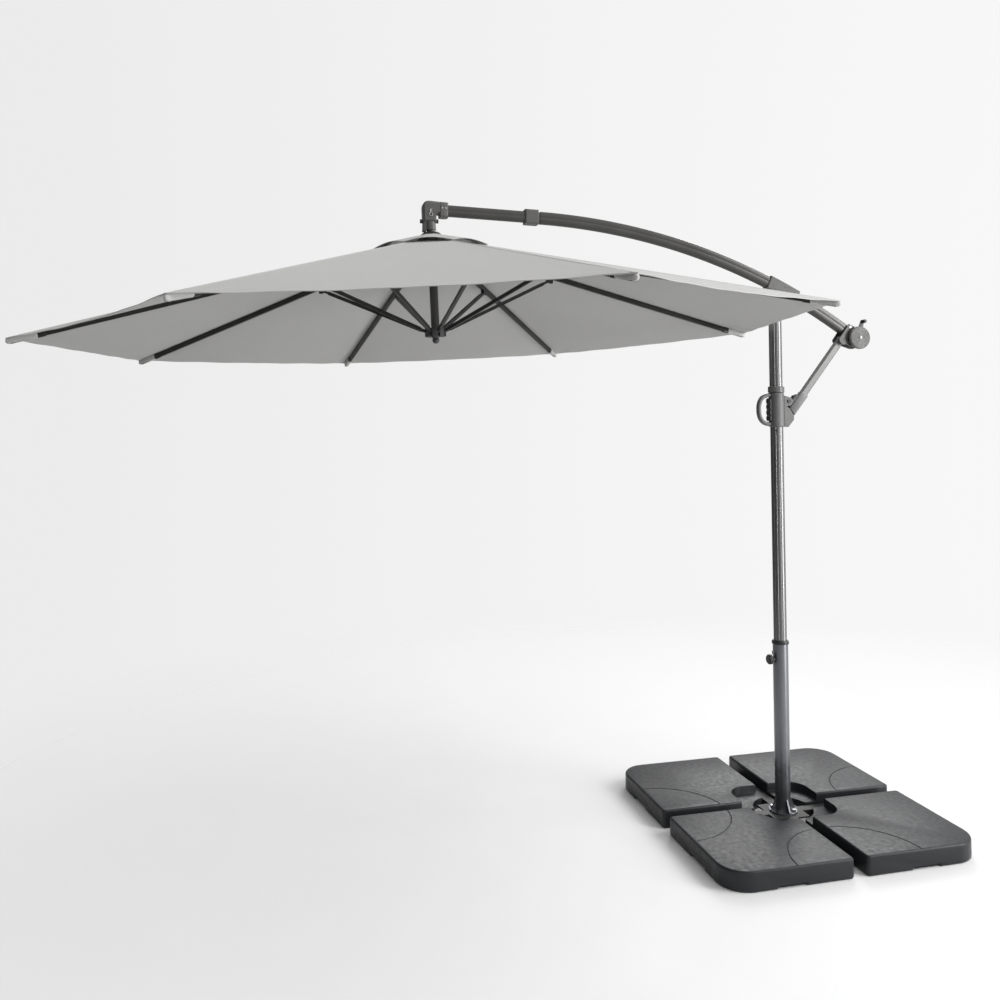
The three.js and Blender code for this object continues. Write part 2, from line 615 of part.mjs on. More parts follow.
// A hub disc with one slot for each rib and, if pinned, a pin across each slot on the hinge circle.
function slottedHub(outer, z0, z1, bore, slotWidth, hinge, pinned) {
  const slots = [];
  const pins = [];
  for (let i = 0; i < RIBS; i++) {
    const turn = azimuth(i);
    const slot = new THREE.BoxGeometry(60, slotWidth, z1 - z0 + 2).translate(hinge + 21, 0, (z0 + z1) / 2);
    slots.push(solid(slot.rotateZ(turn)));
    const pin = new THREE.CylinderGeometry(2.5, 2.5, slotWidth + 4, 8).translate(hinge, 0, 0);
    pins.push(solid(pin.rotateZ(turn)));
  }
  const hub = cut(turned([[bore, z0], [outer, z0], [outer, z1], [bore, z1]], 32), ...slots);
  return pinned ? join(hub, ...pins) : hub;
}

function addPoleAndHubs(canopy) {
  const poleEnd = -LOWER_HUB.drop + 2;
  const pole = cut(tube(POLE_RADIUS, 2.5, poleEnd, POLE_TOP), alongX(5 + GAP, -60, 60, ELBOW.bolt));
  piece("canopy_pole", pole, greyMetal(), canopy);
  const { left, right, bolt } = ELBOW;
  const nuts = [[-left - 9, -left - 2], [right + 2, right + 9]].map(([x0, x1]) => alongX(8, x0, x1, bolt));
  piece("elbow_bolt", join(alongX(5, -left - 4, right + 4, bolt), ...nuts), steel(), canopy);

  const bore = POLE_RADIUS + GAP;
  const crownHub = slottedHub(55, -12, 12, bore, 6.4, HINGE_RADIUS, true);
  piece("crown_hub", crownHub, darkPlastic(), canopy);

  const cap = [[bore, 37], [39, 30], [39, 33], [30, 40], [20, 43], [bore, 43]];
  piece("crown_cap", turned(cap), blackPlastic(), canopy);

  const { drop, hinge, outer, height } = LOWER_HUB;
  const low = -drop - height / 2;
  const hub = slottedHub(outer, low, low + height, POLE_RADIUS + 1, 8.4, hinge, false);
  piece("lower_hub", hub, darkPlastic(), canopy);

  const finial = turned([
    [0, low - 27], [8, low - 25], [12.5, low - 19], [13.5, low - 13],
    [11, low - 6], [16, low - 3], [17, low - GAP], [0, low - GAP],
  ]);
  piece("hub_finial", finial, darkPlastic(), canopy);

  piece("hoist_cord", upright(2.5, low + 1, POLE_TOP - 5, 0, 9, 8), rope(), canopy);
}

function ribShape() {
  const length = (CANOPY_RADIUS - 14 - HINGE_RADIUS) / Math.cos(RIB_SLOPE);
  const { width, height, blade } = RIB;
  const eyeBlade = join(box(36, blade, 14, [18, 0, 0]), crossPin(7, -blade / 2, blade / 2, 0, 0));
  const bar = box(length - 24, width, height, [(length + 24) / 2, 0, 0]);
  const clevis = [-5.6, 5.6].map((y) => box(26, 2.8, 18, [KNEE.along, y, -height / 2 - 8]));
  const kneePin = crossPin(2.5, -6, 6, KNEE.along, -KNEE.below, 8);
  const inside = box(length, width - 2.8, height - 2.8, [length / 2 + 60, 0, 0]);
  return cut(join(cut(bar, inside), eyeBlade, ...clevis, kneePin), crossPin(2.5 + 0.4, -10, 10, 0, 0, 8));
}

// Drawn along +X from its foot in the lower hub to its knee under the rib.
function strutShape() {
  const ends = join(
    crossPin(6.5, -3.2, 3.2, 0, 0, 10),
    crossPin(6.5, -3.2, 3.2, STAY_LENGTH, 0, 10),
    box(STAY_LENGTH, 6.4, 9, [STAY_LENGTH / 2, 0, 0]),
  );
  const bar = box(STAY_LENGTH - 64, 11, 13, [STAY_LENGTH / 2, 0, 0]);
  const channel = box(STAY_LENGTH - 80, 8, 12, [STAY_LENGTH / 2, 0, 2]);
  return cut(join(ends, bar), channel, crossPin(2.5 + 0.4, -10, 10, STAY_LENGTH, 0, 8));
}

function addRibs(canopy) {
  const rib = ribShape();
  const strut = strutShape();
  for (let i = 0; i < RIBS; i++) {
    const spoke = new THREE.Group();
    spoke.rotation.z = azimuth(i);
    canopy.add(spoke);

    const ribMesh = piece("rib_" + (i + 1), rib, ribPaint(), spoke);
    ribMesh.position.x = HINGE_RADIUS;
    ribMesh.rotation.y = RIB_SLOPE;

    const strutMesh = piece("rib_strut_" + (i + 1), strut, ribPaint(), spoke);
    strutMesh.position.set(LOWER_HUB.hinge, 0, -LOWER_HUB.drop);
    strutMesh.rotation.y = -STAY_SLOPE;
  }
}

// A closed shell of eight panels slung between the ribs. height(r) is its underside along a rib,
// panelSag lowers the middle of each panel and scallop draws its rim in.
function panelShell({ inner, outer, thickness, height, panelSag, scallop }) {
  const across = 4;
  const along = 4;
  const count = RIBS * across;
  const positions = [];
  const at = (k, j, lift) => {
    const rib = Math.floor(k / across);
    const v = (k % across) / across;
    const bow = 4 * v * (1 - v);
    const share = j / along;
    const r = inner + (outer - scallop * bow - inner) * share;
    const x = (1 - v) * Math.cos(azimuth(rib)) + v * Math.cos(azimuth(rib + 1));
    const y = (1 - v) * Math.sin(azimuth(rib)) + v * Math.sin(azimuth(rib + 1));
    return [r * x, r * y, height(r) - panelSag * bow * share + lift];
  };
  const quad = (a, b, c, d) => positions.push(...a, ...b, ...c, ...a, ...c, ...d);
  for (let k = 0; k < count; k++) {
    const next = (k + 1) % count;
    for (let j = 0; j < along; j++) {
      quad(at(k, j, thickness), at(k, j + 1, thickness), at(next, j + 1, thickness), at(next, j, thickness));
      quad(at(k, j, 0), at(next, j, 0), at(next, j + 1, 0), at(k, j + 1, 0));
    }
    quad(at(k, 0, 0), at(k, 0, thickness), at(next, 0, thickness), at(next, 0, 0));
    quad(at(k, along, 0), at(next, along, 0), at(next, along, thickness), at(k, along, thickness));
  }
  const geometry = new THREE.BufferGeometry();
  geometry.setAttribute("position", new THREE.Float32BufferAttribute(positions, 3));
  return solid(geometry);
}

function addFabric(canopy) {
  const ribTop = (r) => -(r - HINGE_RADIUS) * Math.tan(RIB_SLOPE) + RIB.height / 2 / Math.cos(RIB_SLOPE);
  const main = {
    inner: 165,
    outer: CANOPY_RADIUS,
    thickness: 1.2,
    height: (r) => ribTop(r) + 2.5,
    panelSag: 14,
    scallop: 30,
  };
  piece("canopy_fabric", panelShell(main), canvas(), canopy);

  const vent = {
    inner: 19,
    outer: 232,
    thickness: 1.2,
    height: (r) => 34 - (r - 19) * 0.305,
    panelSag: -12,
    scallop: 6,
  };
  piece("vent_fabric", panelShell(vent), canvas(), canopy);
}

// ---- Assembly -----------------------------------------------------------------------------------
const parasol = new THREE.Group();
addCross(parasol);
addBasePlates(parasol);
addBaseTube(parasol);
addThumbScrew(parasol);
addMast(parasol);
addSlider(parasol);
addBoom(parasol);
addCrank(parasol);
addSupportStrut(parasol);
const canopy = canopyFrame();
parasol.add(canopy);
addPoleAndHubs(canopy);
addRibs(canopy);
addFabric(canopy);

export default parasol;
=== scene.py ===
"""The looks of the cantilever parasol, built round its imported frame. Metres, +Z up, mast axis on Z."""
import json
import math

import bmesh
import bpy
import numpy as np
from mathutils import Matrix, Vector


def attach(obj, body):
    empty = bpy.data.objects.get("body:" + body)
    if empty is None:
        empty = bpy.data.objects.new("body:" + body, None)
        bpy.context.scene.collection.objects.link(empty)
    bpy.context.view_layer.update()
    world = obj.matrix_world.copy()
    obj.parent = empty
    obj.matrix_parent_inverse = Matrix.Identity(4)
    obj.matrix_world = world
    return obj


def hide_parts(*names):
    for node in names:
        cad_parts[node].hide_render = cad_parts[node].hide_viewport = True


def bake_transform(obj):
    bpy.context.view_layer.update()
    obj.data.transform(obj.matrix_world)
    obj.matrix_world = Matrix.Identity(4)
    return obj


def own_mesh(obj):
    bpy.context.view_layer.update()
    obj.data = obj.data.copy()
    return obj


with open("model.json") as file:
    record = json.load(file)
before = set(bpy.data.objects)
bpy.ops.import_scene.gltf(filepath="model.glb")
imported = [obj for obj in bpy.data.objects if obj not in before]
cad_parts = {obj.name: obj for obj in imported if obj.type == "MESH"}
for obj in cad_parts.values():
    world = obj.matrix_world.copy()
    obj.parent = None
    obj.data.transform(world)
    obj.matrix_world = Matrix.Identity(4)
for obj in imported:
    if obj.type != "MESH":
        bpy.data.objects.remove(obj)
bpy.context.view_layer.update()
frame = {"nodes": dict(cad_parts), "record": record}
NODES = frame["nodes"]

# ---- Dimensions in metres, most of them shared with the CAD ----------------------------------------
CROWN = Vector((-1.442, 0.0, 2.298))
CANOPY_TILT = math.radians(2.33)
RIBS = 8
FIRST_RIB = math.radians(9.3)
RIB_SLOPE = math.radians(14.57)
HINGE_RADIUS = 0.045
CANOPY_RADIUS = 1.436
RIB_HEIGHT = 0.018
RIB_INSET = 0.014
RIB_END = (CANOPY_RADIUS - RIB_INSET - HINGE_RADIUS) / math.cos(RIB_SLOPE)

MAST_RADIUS = 0.026
MAST_WALL = 0.002
MAST_BOTTOM, MAST_TOP = 0.330, 2.052
LOCK_HOLE_Z = 1.580
LOCK_HOLE_RADIUS = 0.004
LOCK_HOLE_TURN = math.radians(236)

BOOM_BEND = Vector((-1.015, 0.0, 2.415))
BOOM_SLOPE = math.radians(1.5)
BOOM_RADIUS = 2.600
BOOM_REAR_X = 0.318
FRONT_END_X = -1.392
REAR_SECTION = (0.036, 0.048)
FRONT_SECTION = (0.033, 0.043)

SLEEVE_BOTTOM, SLEEVE_TOP, SLEEVE_HALF = 1.594, 1.737, 0.030
GRIP_WIDTH, GRIP_THICK, GRIP_SWELL = 0.022, 0.0158, 0.0012
STRUT_TOP = Vector((0.308, 0.0, 1.962))
STRUT_HEEL = Vector((0.064, 0.0, 1.655))
STRUT_FOOT = Vector((0.048, 0.0, 1.700))
SOCKET_EYE = 0.0135
CHEEK_FACE_Y = -0.0258
COVER_BACK_Y = -0.0318
CRANK = Vector((0.373, 0.0, 1.968))
CRANK_DISC = 0.048
LOWER_HUB_DROP = 0.338

BASE_HALF = 0.515
PLATE_HEIGHT = 0.072
PLATE_GAP = 0.052
PLATE_CORNER = 0.105
PLATE_HEEL = 0.014
FOOT_CLEARANCE = 0.118
RECESS_HALF, RECESS_CORNER, RECESS_FLOOR = 0.170, 0.075, 0.040
RELIEF_DEPTH, RELIEF_HEIGHT = 0.012, 0.012
GROOVE_RADIUS = 0.250
GROOVE_ROD = 0.0032

CANOPY = Matrix.Translation(CROWN) @ Matrix.Rotation(-CANOPY_TILT, 4, "Y")


# ---- Node materials -------------------------------------------------------------------------------
def feed(tree, socket, value):
    """Links an output to the socket, or sets the socket to a plain value."""
    if isinstance(value, bpy.types.NodeSocket):
        tree.links.new(value, socket)
    else:
        socket.default_value = value


def new_node(tree, kind, values=None, **settings):
    """Adds a node with its settings, and feeds each input that values names."""
    node = tree.nodes.new(kind)
    for key, value in settings.items():
        setattr(node, key, value)
    for socket, value in (values or {}).items():
        feed(tree, node.inputs[socket], value)
    return node


class Paint:
    """A material with a Principled shader, and short ways to add the nodes that feed it."""

    def __init__(self, name, roughness, metallic=0.0, **fixed):
        self.material = bpy.data.materials.new(name)
        self.material.use_nodes = True
        self.tree = self.material.node_tree
        self.shader = self.tree.nodes["Principled BSDF"]
        self.shader.inputs["Roughness"].default_value = roughness
        self.shader.inputs["Metallic"].default_value = metallic
        for socket, value in fixed.items():
            self.shader.inputs[socket.replace("_", " ")].default_value = value
        self.place = self.add("ShaderNodeTexCoord").outputs["Object"]

    def add(self, kind, values=None, **settings):
        return new_node(self.tree, kind, values, **settings)

    def uv(self, name):
        return self.add("ShaderNodeUVMap", uv_map=name).outputs["UV"]

    def math(self, operation, a, b=0.0, c=0.0):
        return self.add("ShaderNodeMath", {0: a, 1: b, 2: c}, operation=operation).outputs[0]

    def split(self, vector):
        return self.add("ShaderNodeSeparateXYZ", {0: vector}).outputs

    def stretched(self, vector, scale):
        return self.add("ShaderNodeMapping", {"Vector": vector, "Scale": scale}).outputs[0]

    def noise(self, vector, scale, detail=3.0):
        values = {"Vector": vector, "Scale": scale, "Detail": detail}
        return self.add("ShaderNodeTexNoise", values).outputs["Fac"]

    def ramp(self, fac, low, high, out_low, out_high):
        values = {"Value": fac, "From Min": low, "From Max": high, "To Min": out_low, "To Max": out_high}
        return self.add("ShaderNodeMapRange", values).outputs["Result"]

    def blend(self, fac, a, b):
        node = self.add("ShaderNodeMix", data_type="RGBA")
        for socket, value in ((0, fac), (6, a), (7, b)):
            feed(self.tree, node.inputs[socket], value)
        return node.outputs[2]

    def bump(self, height, strength, distance, under=None):
        values = {"Height": height, "Strength": strength, "Distance": distance}
        if under:
            values["Normal"] = under
        return self.add("ShaderNodeBump", values).outputs["Normal"]

    def finish(self, colour=None, roughness=None, normal=None):
        for socket, value in (("Base Color", colour), ("Roughness", roughness), ("Normal", normal)):
            if value is not None:
                feed(self.tree, self.shader.inputs[socket], value)
        return self.material


def grey(level, tint=(1.0, 1.0, 1.0)):
    return tuple(level * t for t in tint) + (1.0,)


def powder_coat(name, level, tint, roughness, metallic, peel=0.02):
    """Satin paint on metal: a fine orange peel, faint clouds, and a little dust where it lies rough."""
    p = Paint(name, roughness, metallic)
    clouds = p.noise(p.place, 7.0, 4.0)
    fine = p.noise(p.place, 150.0, 2.0)
    dust = p.ramp(p.noise(p.place, 18.0, 5.0), 0.55, 0.75, 0.0, 0.15)
    coat = p.blend(clouds, grey(level * 0.9, tint), grey(level * 1.1, tint))
    colour = p.blend(dust, coat, grey(level * 1.35, tint))
    rough = p.ramp(clouds, 0.3, 0.7, roughness - 0.05, roughness + 0.07)
    return p.finish(colour, rough, p.bump(fine, peel, 0.0001))


def moulded(name, level, tint, roughness, grain=0.25, **fixed):
    """Moulded plastic: a pebbled grain, slight colour drift and rubbed spots that shine a little more."""
    p = Paint(name, roughness, **fixed)
    pebbles = p.add("ShaderNodeTexVoronoi", {"Vector": p.place, "Scale": 520.0}).outputs["Distance"]
    drift = p.noise(p.place, 9.0, 5.0)
    rubbed = p.noise(p.place, 55.0, 6.0)
    colour = p.blend(drift, grey(level * 0.86, tint), grey(level * 1.14, tint))
    rough = p.ramp(rubbed, 0.35, 0.7, roughness + 0.06, roughness - 0.1)
    soft = p.bump(rubbed, 0.06, 0.002)
    return p.finish(colour, rough, p.bump(pebbles, grain, 0.0004, soft))


def brushed_steel(name):
    p = Paint(name, 0.3, 1.0)
    streaks = p.noise(p.stretched(p.place, (60.0, 900.0, 900.0)), 1.0, 4.0)
    colour = p.blend(streaks, grey(0.36), grey(0.55))
    return p.finish(colour, p.ramp(streaks, 0.3, 0.7, 0.22, 0.42), p.bump(streaks, 0.1, 0.0002))


def woven(name, level):
    """Polyester canvas on its own UVs, in metres: plain weave, slubs, faint folds and two hem seams."""
    p = Paint(name, 0.85, Sheen_Weight=0.25, Sheen_Roughness=0.5)
    cloth = p.uv("cloth")
    across, along = p.split(cloth)[0], p.split(cloth)[1]
    thread = 0.0011
    warp = p.math("SINE", p.math("MULTIPLY", across, 2 * math.pi / thread))
    weft = p.math("SINE", p.math("MULTIPLY", along, 2 * math.pi / thread))
    weave = p.math("MULTIPLY", warp, weft)
    slubs_along = p.noise(p.stretched(cloth, (420.0, 22.0, 1.0)), 1.0, 2.0)
    slubs_across = p.noise(p.stretched(cloth, (22.0, 420.0, 1.0)), 1.0, 2.0)
    slubs = p.math("ADD", slubs_along, slubs_across)
    clouds = p.noise(p.place, 2.3, 4.0)
    hem = p.split(p.uv("hem"))
    seams = None
    for inset in (0.005, 0.021):
        line = p.math("COMPARE", hem[0], inset, 0.0007)
        seams = line if seams is None else p.math("ADD", seams, line)
    dash = p.math("GREATER_THAN", p.math("FRACT", p.math("MULTIPLY", hem[1], 1 / 0.0045)), 0.28)
    stitches = p.math("MULTIPLY", seams, dash)
    tint = (1.0, 0.995, 0.975)
    tone = p.blend(p.ramp(slubs, 0.6, 1.4, 0.0, 1.0), grey(level * 0.93, tint), grey(level * 1.05, tint))
    tone = p.blend(p.ramp(clouds, 0.35, 0.65, 0.0, 0.3), tone, grey(level * 0.92, tint))
    tone = p.blend(stitches, tone, grey(min(1.0, level * 1.25), tint))
    folds = p.bump(clouds, 0.12, 0.02)
    threads = p.bump(p.math("ADD", weave, slubs), 0.25, 0.0004, folds)
    return p.finish(tone, None, p.bump(stitches, 0.6, 0.0008, threads))


def braided(name):
    p = Paint(name, 0.8, Sheen_Weight=0.2)
    twist = p.add("ShaderNodeTexWave", {"Vector": p.place, "Scale": 220.0}, bands_direction="DIAGONAL")
    twist = twist.outputs["Fac"]
    colour = p.blend(twist, grey(0.45, (1, 0.97, 0.9)), grey(0.66, (1, 0.97, 0.9)))
    return p.finish(colour, None, p.bump(twist, 0.4, 0.0006))


WARM = (1.0, 0.985, 0.955)
LOOKS = {
    "graphite_metal": powder_coat("graphite powder coat", 0.085, WARM, 0.30, 0.75),
    "steel": brushed_steel("brushed steel"),
    "base_plastic": moulded("charcoal base plastic", 0.017, (0.9, 0.98, 1.12), 0.40, 0.3,
                            Specular_IOR_Level=0.30),
    "grey_plastic": moulded("graphite plastic", 0.10, WARM, 0.34),
    "dark_plastic": moulded("dark plastic", 0.06, (1, 1, 1), 0.42),
    "black_plastic": moulded("black plastic", 0.016, (1, 1, 1), 0.38),
    "rib_metal": powder_coat("dark rib paint", 0.03, WARM, 0.38, 0.3),
    "canopy_cloth": woven("light grey canvas", 0.50),
    "cord": braided("braided cord"),
}
POCKET_CLOTH = woven("pocket canvas", 0.60)
# The strut has the boom's graphite paint, made lighter here as painted light for its lit face.
STRUT_PAINTED_LIGHT = powder_coat("strut paint with painted light", 0.19, (1, 1, 0.99), 0.40, 0.35)
HANDLE_PLASTIC = moulded("light graphite plastic", 0.13, (1, 1, 0.99), 0.34)
COVER_PLASTIC = moulded("crank cover plastic", 0.13, WARM, 0.36)
MAST_PAINT = powder_coat("bright mast paint", 0.21, (1, 1, 1), 0.31, 0.9, peel=0.0)
TUBE_PAINT = powder_coat("base tube paint", 0.20, (0.96, 0.99, 1.05), 0.30, 0.85, peel=0.008)
BRACKET_PLASTIC = moulded("crank bracket plastic", 0.07, WARM, 0.30)
FRAME_PAINT = powder_coat("dark frame paint", 0.035, WARM, 0.5, 0.3)
DARK_ZINC = powder_coat("dark zinc plating", 0.06, (1, 1, 1), 0.42, 0.6)
OWN_LOOKS = {
    "support_strut": STRUT_PAINTED_LIGHT, "base_tube": TUBE_PAINT, "cross_frame": FRAME_PAINT,
    "slider_sleeve": HANDLE_PLASTIC, "slider_ring": HANDLE_PLASTIC, "crank_bracket": BRACKET_PLASTIC,
    "elbow_bolt": DARK_ZINC, "crank_arm": DARK_ZINC, "strut_lower_pin": DARK_ZINC,
    "strut_upper_pin": DARK_ZINC,
}
SLOT_OF = {row["node"]: row["material_slot"] for row in frame["record"]["subparts"]}


# ---- Mesh helpers ---------------------------------------------------------------------------------
def face_outward(mesh):
    bm = bmesh.new()
    bm.from_mesh(mesh)
    bmesh.ops.recalc_face_normals(bm, faces=bm.faces)
    bm.to_mesh(mesh)
    bm.free()


def add_mesh(name, points, faces, body, slot_name, replaces=(), material=None, sharp=35.0):
    mesh = bpy.data.meshes.new(name)
    mesh.from_pydata([tuple(p) for p in points], [], faces)
    return add_object(name, mesh, body, slot_name, replaces, material, sharp)


def add_object(name, mesh, body, slot_name, replaces=(), material=None, sharp=35.0):
    face_outward(mesh)
    mesh.shade_smooth()
    mesh.set_sharp_from_angle(angle=math.radians(sharp))
    mesh.materials.clear()
    mesh.materials.append(material or LOOKS[slot_name])
    made = bpy.data.objects.new(name, mesh)
    bpy.context.scene.collection.objects.link(made)
    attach(made, body)
    if replaces:
        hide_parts(*replaces)
    return made


def grid_faces(rows, columns, start=0, wrap=False):
    """Faces of a grid of points stored row after row."""
    faces = []
    last = columns if wrap else columns - 1
    for r in range(rows - 1):
        for c in range(last):
            d = (c + 1) % columns
            a = start + r * columns
            b = a + columns
            faces.append((a + c, a + d, b + d, b + c))
    return faces


def full_turn(count):
    return [2 * math.pi * k / count for k in range(count)]


def round_outline(radius, count):
    return [(radius * math.cos(a), radius * math.sin(a)) for a in full_turn(count)]


def loft(rings):
    """A closed body through rings of points, with its ends filled. Each ring has as many points."""
    count = len(rings[0])
    points = [p for ring in rings for p in ring]
    faces = grid_faces(len(rings), count, wrap=True)
    faces.append(tuple(reversed(range(count))))
    first = (len(rings) - 1) * count
    faces.append(tuple(range(first, first + count)))
    return points, faces


def turned(profile, place=Matrix.Identity(4), sides=48):
    """A profile of (radius, height) turned about Z. A first or last radius of 0 closes that end."""
    rings = []
    for radius, height in profile:
        outline = round_outline(max(radius, 1e-5), sides)
        rings.append([place @ Vector((x, y, height)) for x, y in outline])
    return loft(rings)


def oval(width, height, power=2.6, count=40):
    """A rounded outline in (u, v): an ellipse at power 2 and squarer above it."""
    outline = []
    for a in full_turn(count):
        c, s = math.cos(a), math.sin(a)
        outline.append((width / 2 * math.copysign(abs(c) ** (2 / power), c),
                        height / 2 * math.copysign(abs(s) ** (2 / power), s)))
    return outline


def swept(outlines, path, side=Vector((0, 1, 0))):
    """Outlines of (u, v) along a path: u lies along side, v square to it and to the path."""
    rings = []
    for i, point in enumerate(path):
        ahead = path[min(i + 1, len(path) - 1)] - path[max(i - 1, 0)]
        rise = side.cross(ahead).normalized()
        rings.append([point + side * u - rise * v for u, v in outlines[i]])
    return loft(rings)


def apply_modifiers(obj):
    depsgraph = bpy.context.evaluated_depsgraph_get()
    mesh = bpy.data.meshes.new_from_object(obj.evaluated_get(depsgraph))
    obj.modifiers.clear()
    obj.data = mesh


def loose_object(name, points, faces):
    mesh = bpy.data.meshes.new(name)
    mesh.from_pydata([tuple(p) for p in points], [], faces)
    face_outward(mesh)
    made = bpy.data.objects.new(name, mesh)
    bpy.context.scene.collection.objects.link(made)
    return made


def cut_out(body, cutters):
    """Takes the cutters out of body, and removes them."""
    for cutter in cutters:
        cut = body.modifiers.new("cut", "BOOLEAN")
        cut.object = cutter
        cut.solver = "EXACT"
        apply_modifiers(body)
        bpy.data.objects.remove(cutter)


# ---- Camera, floor and light ----------------------------------------------------------------------
CAMERA_PLACE = (-2.014, -3.389, 1.601)
CAMERA_LENS, CAMERA_SENSOR, CAMERA_SHIFT = 32.78, 36.0, -0.1034


def add_camera():
    """The view from the front: almost level, with its frame shifted downwards."""
    pitch, roll, heading = math.radians(1.92), math.radians(0.377), math.radians(13.84)
    ahead = Vector((0, math.cos(pitch), math.sin(pitch)))
    side = Vector((1, 0, 0))
    up = Vector((0, -math.sin(pitch), math.cos(pitch)))
    right = side * math.cos(roll) - up * math.sin(roll)
    top = side * math.sin(roll) + up * math.cos(roll)
    turn = Matrix.Rotation(-heading, 3, "Z")
    axes = Matrix([turn @ right, turn @ top, turn @ -ahead]).transposed()
    data = bpy.data.cameras.new("camera")
    data.sensor_width = CAMERA_SENSOR
    data.lens = CAMERA_LENS
    data.shift_y = CAMERA_SHIFT
    data.clip_end = 60.0
    camera = bpy.data.objects.new("camera", data)
    camera.matrix_world = Matrix.Translation(CAMERA_PLACE) @ axes.to_4x4()
    bpy.context.scene.collection.objects.link(camera)
    bpy.context.scene.camera = camera


def add_world():
    """A pale backdrop to the camera and a soft studio to everything else, both brighter to the right."""
    world = bpy.data.worlds.new("studio")
    world.use_nodes = True
    bpy.context.scene.world = world
    world.node_tree.nodes.clear()

    def add(kind, values=None, **settings):
        return new_node(world.node_tree, kind, values, **settings)

    direction = add("ShaderNodeTexCoord").outputs["Generated"]
    parts = add("ShaderNodeSeparateXYZ", {0: direction}).outputs
    seen = add("ShaderNodeMapRange", {"Value": parts[0], "From Min": -0.2, "From Max": 0.65,
                                      "To Min": 0.835, "To Max": 0.935}).outputs["Result"]
    lean = add("ShaderNodeVectorMath", {0: direction, 1: (0.62, -0.25, 0.74)}, operation="DOT_PRODUCT")
    glow = add("ShaderNodeMapRange", {"Value": lean.outputs["Value"], "From Min": -0.45, "From Max": 1.0,
                                      "To Min": 0.10, "To Max": 1.10}).outputs["Result"]
    camera_sky = add("ShaderNodeBackground", {"Strength": seen, "Color": (1, 1, 1, 1)})
    studio = add("ShaderNodeBackground", {"Strength": glow, "Color": (1, 1, 1, 1)})
    mix = add("ShaderNodeMixShader", {0: add("ShaderNodeLightPath").outputs["Is Camera Ray"],
                                      1: studio.outputs[0], 2: camera_sky.outputs[0]})
    add("ShaderNodeOutputWorld", {"Surface": mix.outputs[0]})


def add_lamp(name, place, target, size, power):
    data = bpy.data.lights.new(name, "AREA")
    data.shape = "RECTANGLE"
    data.size, data.size_y = size
    data.energy = power
    lamp = bpy.data.objects.new(name, data)
    lamp.location = place
    lamp.rotation_euler = (Vector(target) - Vector(place)).to_track_quat("-Z", "Y").to_euler()
    lamp.visible_camera = False
    bpy.context.scene.collection.objects.link(lamp)


def add_floor():
    """A pale disc with painted shade that darkens it towards +X, which fades into the backdrop further
    out.
    """
    reach, rings, spokes = 9.0, 12, 96
    centre = Vector((-0.6, 0, -0.0005))
    points = [Vector((0, 0, 0))]
    faces = []
    for r in range(1, rings + 1):
        points += [Vector((x, y, 0)) for x, y in round_outline(reach * r / rings, spokes)]
    for k in range(spokes):
        faces.append((0, 1 + k, 1 + (k + 1) % spokes))
    faces += grid_faces(rings, spokes, start=1, wrap=True)
    mesh = bpy.data.meshes.new("floor")
    mesh.from_pydata([tuple(p + centre) for p in points], [], faces)
    floor = bpy.data.objects.new("floor", mesh)
    bpy.context.scene.collection.objects.link(floor)
    p = Paint("pale floor", 0.7)
    far = p.add("ShaderNodeVectorMath", {0: p.place}, operation="LENGTH").outputs["Value"]
    mottle = p.blend(p.noise(p.place, 3.0, 5.0), grey(0.84), grey(0.88))
    # Painted shade: the floor's colour darkens towards +X, where the lamps light it most.
    painted_shade_right = p.ramp(p.split(p.place)[0], -0.9, 1.4, 0.0, 1.0)
    p.finish(p.blend(painted_shade_right, mottle, grey(0.72)))
    clear = p.add("ShaderNodeBsdfTransparent")
    fade = p.ramp(far, 1.2, 4.5, 0.0, 1.0)
    mix = p.add("ShaderNodeMixShader", {0: fade, 1: p.shader.outputs[0], 2: clear.outputs[0]})
    feed(p.tree, p.tree.nodes["Material Output"].inputs["Surface"], mix.outputs[0])
    mesh.materials.append(p.material)


# ---- Canopy cloth ---------------------------------------------------------------------------------
def spoke_turn(i):
    return FIRST_RIB + i * 2 * math.pi / RIBS


def spoke(i):
    """The frame of rib i: X outward, Y along the rim, Z up the canopy's axis."""
    return CANOPY @ Matrix.Rotation(spoke_turn(i), 4, "Z")


def rib_top(r):
    return -(r - HINGE_RADIUS) * math.tan(RIB_SLOPE) + RIB_HEIGHT / 2 / math.cos(RIB_SLOPE)


MAIN = {"inner": 0.165, "outer": CANOPY_RADIUS, "sag": 0.014, "scallop": 0.030,
        "height": lambda r: rib_top(r) + 0.0025, "thickness": 0.0012}
VENT = {"inner": 0.019, "outer": 0.232, "sag": -0.012, "scallop": 0.006,
        "height": lambda r: 0.034 - (r - 0.019) * 0.305, "thickness": 0.0012}
HALF_SPAN = math.sin(math.pi / RIBS)


def cloth_point(cloth, u, share, lift=0.0):
    """A point of the cloth round a rib: u runs from -0.5 to 0.5 between the middles of its two panels."""
    v = abs(u)
    bow = 4 * v * (1 - v)
    r = cloth["inner"] + (cloth["outer"] - cloth["scallop"] * bow - cloth["inner"]) * share
    step = 2 * math.pi / RIBS
    x = r * ((1 - v) + v * math.cos(step))
    y = r * v * math.sin(step) * (1 if u >= 0 else -1)
    z = cloth["height"](r) - cloth["sag"] * bow * share + lift
    return Vector((x, y, z)), r


def pucker(cloth, u, share):
    """Small tension folds that fan out of the tip, and a slack ripple along the rim."""
    point, r = cloth_point(cloth, u, share)
    across = abs(point.y)
    inward = cloth["outer"] - r
    away = math.hypot(across, inward)
    fan = math.atan2(across, inward + 1e-6)
    folds = 0.0030 * math.exp(-away / 0.11) * math.sin(9 * fan) * min(1.0, away / 0.03)
    waves = math.sin(abs(u) * 2 * math.pi * 5)
    ripple = 0.0016 * math.exp(-inward / 0.045) * waves * min(1.0, across / 0.1)
    return folds + ripple


